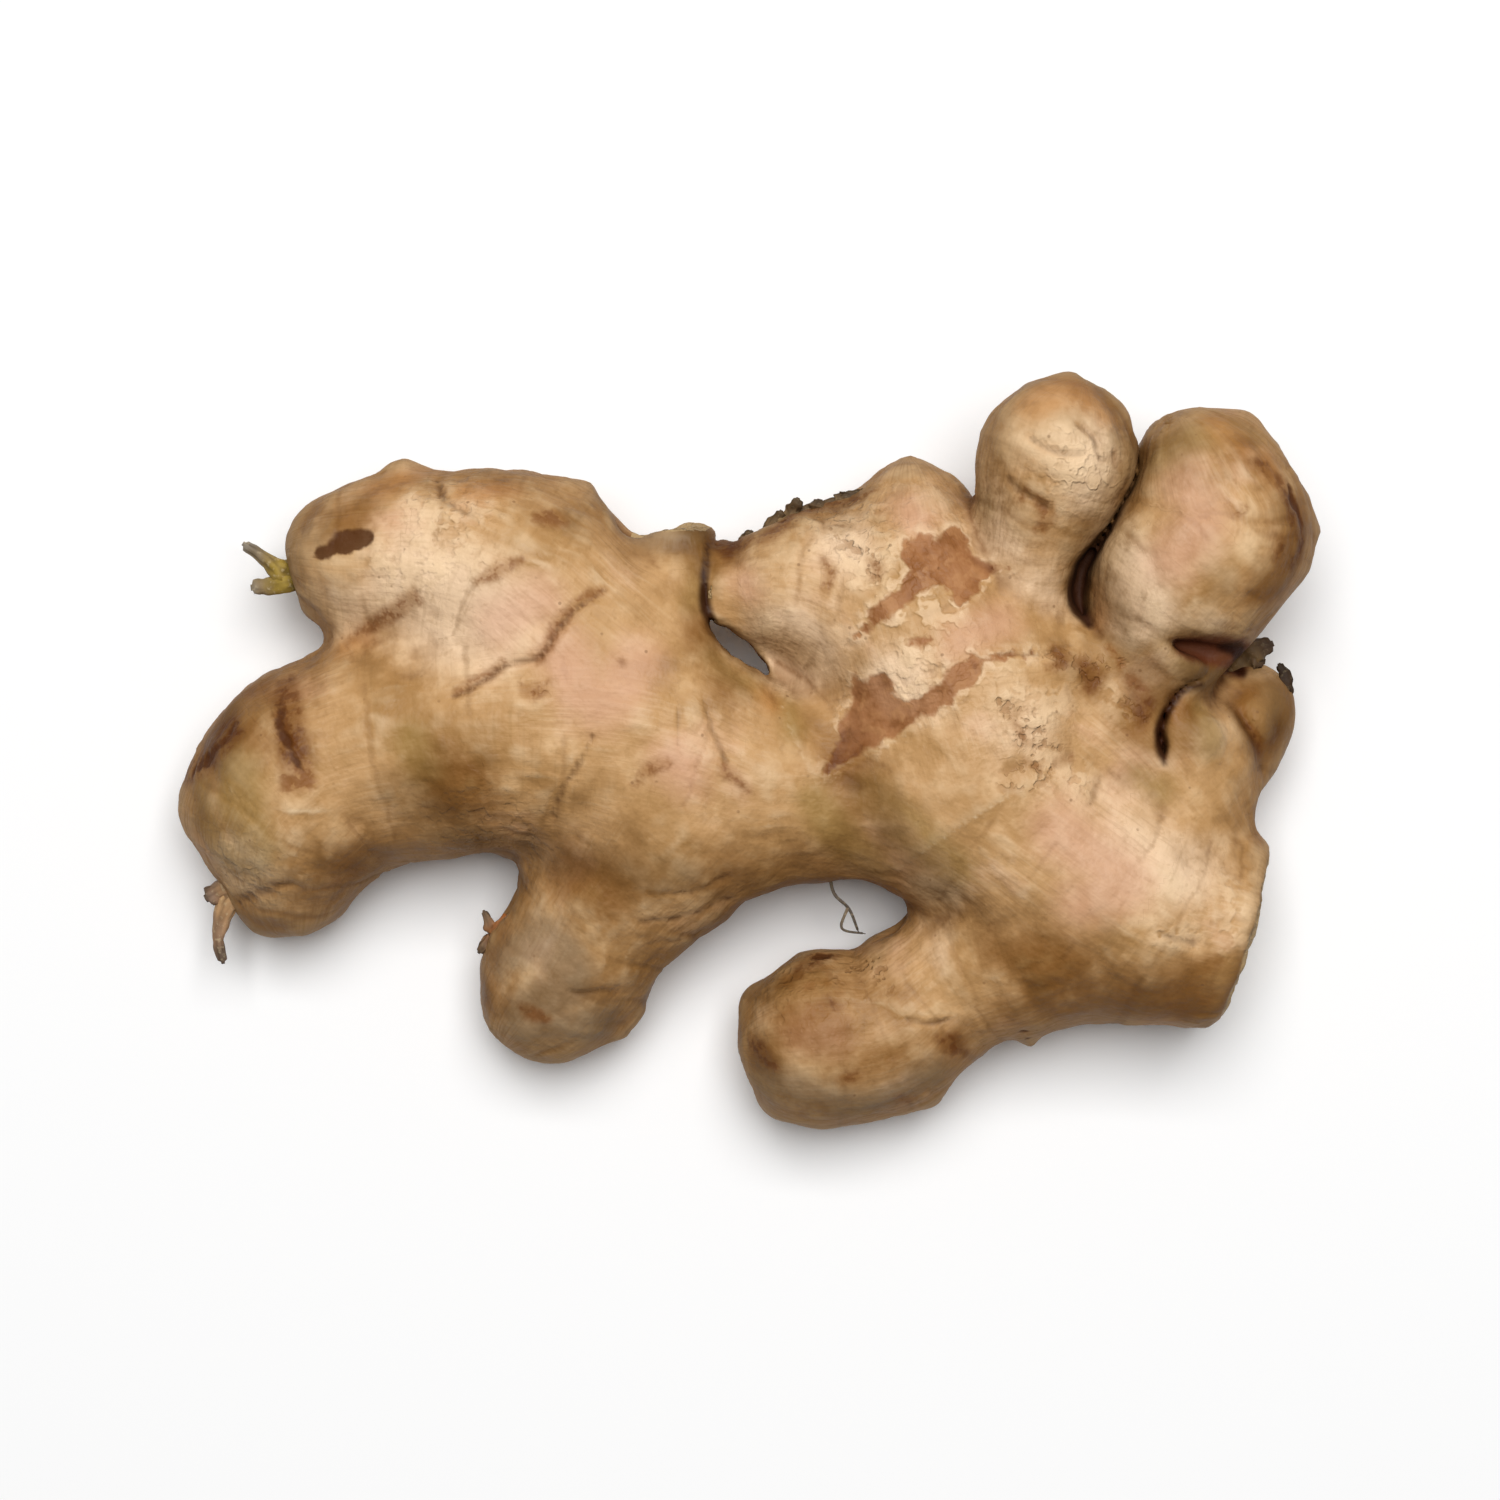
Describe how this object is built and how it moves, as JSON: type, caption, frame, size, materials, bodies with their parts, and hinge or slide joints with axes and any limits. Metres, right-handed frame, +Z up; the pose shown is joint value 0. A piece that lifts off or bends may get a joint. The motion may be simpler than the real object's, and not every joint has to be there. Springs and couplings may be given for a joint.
{
  "type": "ginger root",
  "caption": "Branched hand of fresh ginger lying flat: knobbly fingers, broken stubs, a rounded bulb end and clinging dried roots and scale leaf shreds.",
  "frame": {"origin": "middle of the outline seen from above, at the height of the table it rests on", "axes": "+X along the hand towards its broken right end, +Y towards the raised bulb and blunt finger, +Z up from the table"},
  "size_m": [0.1598, 0.1066, 0.0387],
  "materials": {
    "ginger_skin": "papery satin cork skin over a firm moist body",
    "dried_root": "matt and shrivelled",
    "dry_scale": "matt, brittle"
  },
  "bodies": {
    "root": {"ginger_rhizome": "ginger_skin", "dried_root_upper_left": "dried_root", "dried_root_lower_left": "dried_root", "hair_root": "dried_root", "shred_lower_finger": "dry_scale", "scale_shoulder": "dry_scale", "scale_right_flap": "dry_scale", "scale_right_curl": "dry_scale"}
  },
  "joints": []
}
